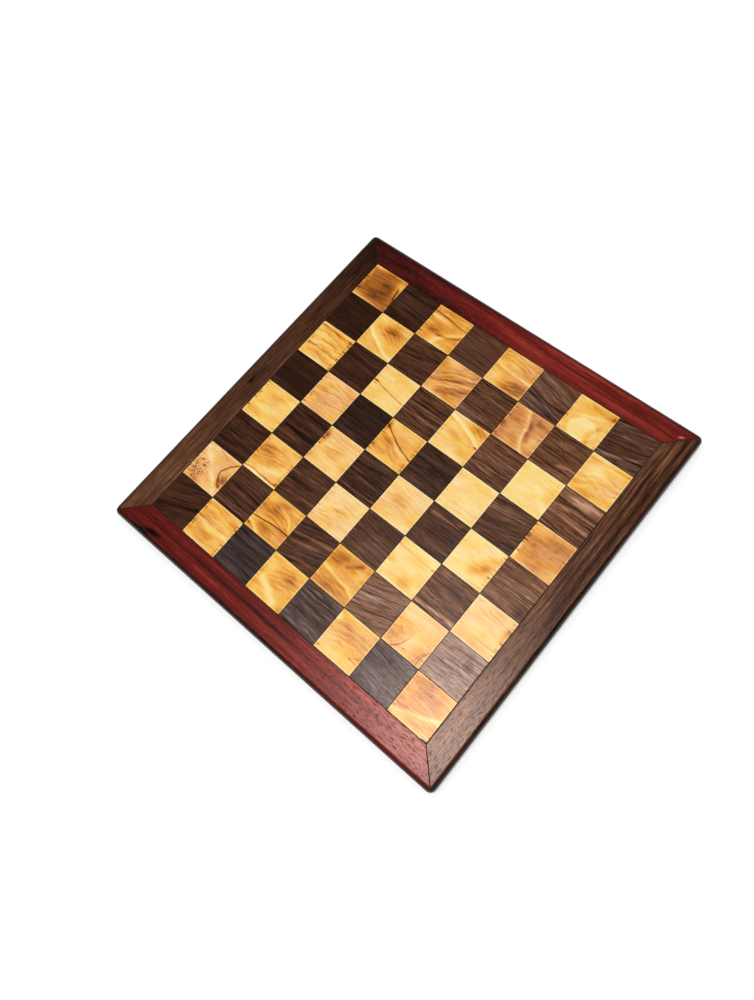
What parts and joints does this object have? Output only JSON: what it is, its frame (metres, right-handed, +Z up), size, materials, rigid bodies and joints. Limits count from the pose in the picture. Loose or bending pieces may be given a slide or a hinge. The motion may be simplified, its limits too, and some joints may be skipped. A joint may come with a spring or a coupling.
{
  "type": "chessboard",
  "caption": "Flat square chessboard of light and dark wood blocks glued edge to edge, in a mitred two-colour wood frame with rounded edges, on felt feet.",
  "frame": {"origin": "on the surface that the board stands on, under the middle of the board", "axes": "+X runs from file a to file h, +Y from rank 1 to rank 8, +Z up out of the playing surface"},
  "size_m": [0.467, 0.467, 0.022],
  "materials": {
    "light_wood": "satin lacquer",
    "dark_wood": "satin lacquer",
    "red_rail_wood": "satin lacquer",
    "brown_rail_wood": "satin lacquer",
    "spline_plywood": "sanded",
    "key_wood": "sanded",
    "felt": "pressed felt"
  },
  "bodies": {
    "root": {"light_squares_file_a": "light_wood", "dark_squares_file_a": "dark_wood", "light_squares_file_b": "light_wood", "dark_squares_file_b": "dark_wood", "light_squares_file_c": "light_wood", "dark_squares_file_c": "dark_wood", "light_squares_file_d": "light_wood", "dark_squares_file_d": "dark_wood", "light_squares_file_e": "light_wood", "dark_squares_file_e": "dark_wood", "light_squares_file_f": "light_wood", "dark_squares_file_f": "dark_wood", "light_squares_file_g": "light_wood", "dark_squares_file_g": "dark_wood", "light_squares_file_h": "light_wood", "dark_squares_file_h": "dark_wood", "rail_right": "brown_rail_wood", "spline_right": "spline_plywood", "rail_back": "red_rail_wood", "spline_back": "spline_plywood", "rail_left": "brown_rail_wood", "spline_left": "spline_plywood", "rail_front": "red_rail_wood", "spline_front": "spline_plywood", "mitre_key_back_right": "key_wood", "foot_back_right": "felt", "mitre_key_back_left": "key_wood", "foot_back_left": "felt", "mitre_key_front_left": "key_wood", "foot_front_left": "felt", "mitre_key_front_right": "key_wood", "foot_front_right": "felt"}
  },
  "joints": []
}
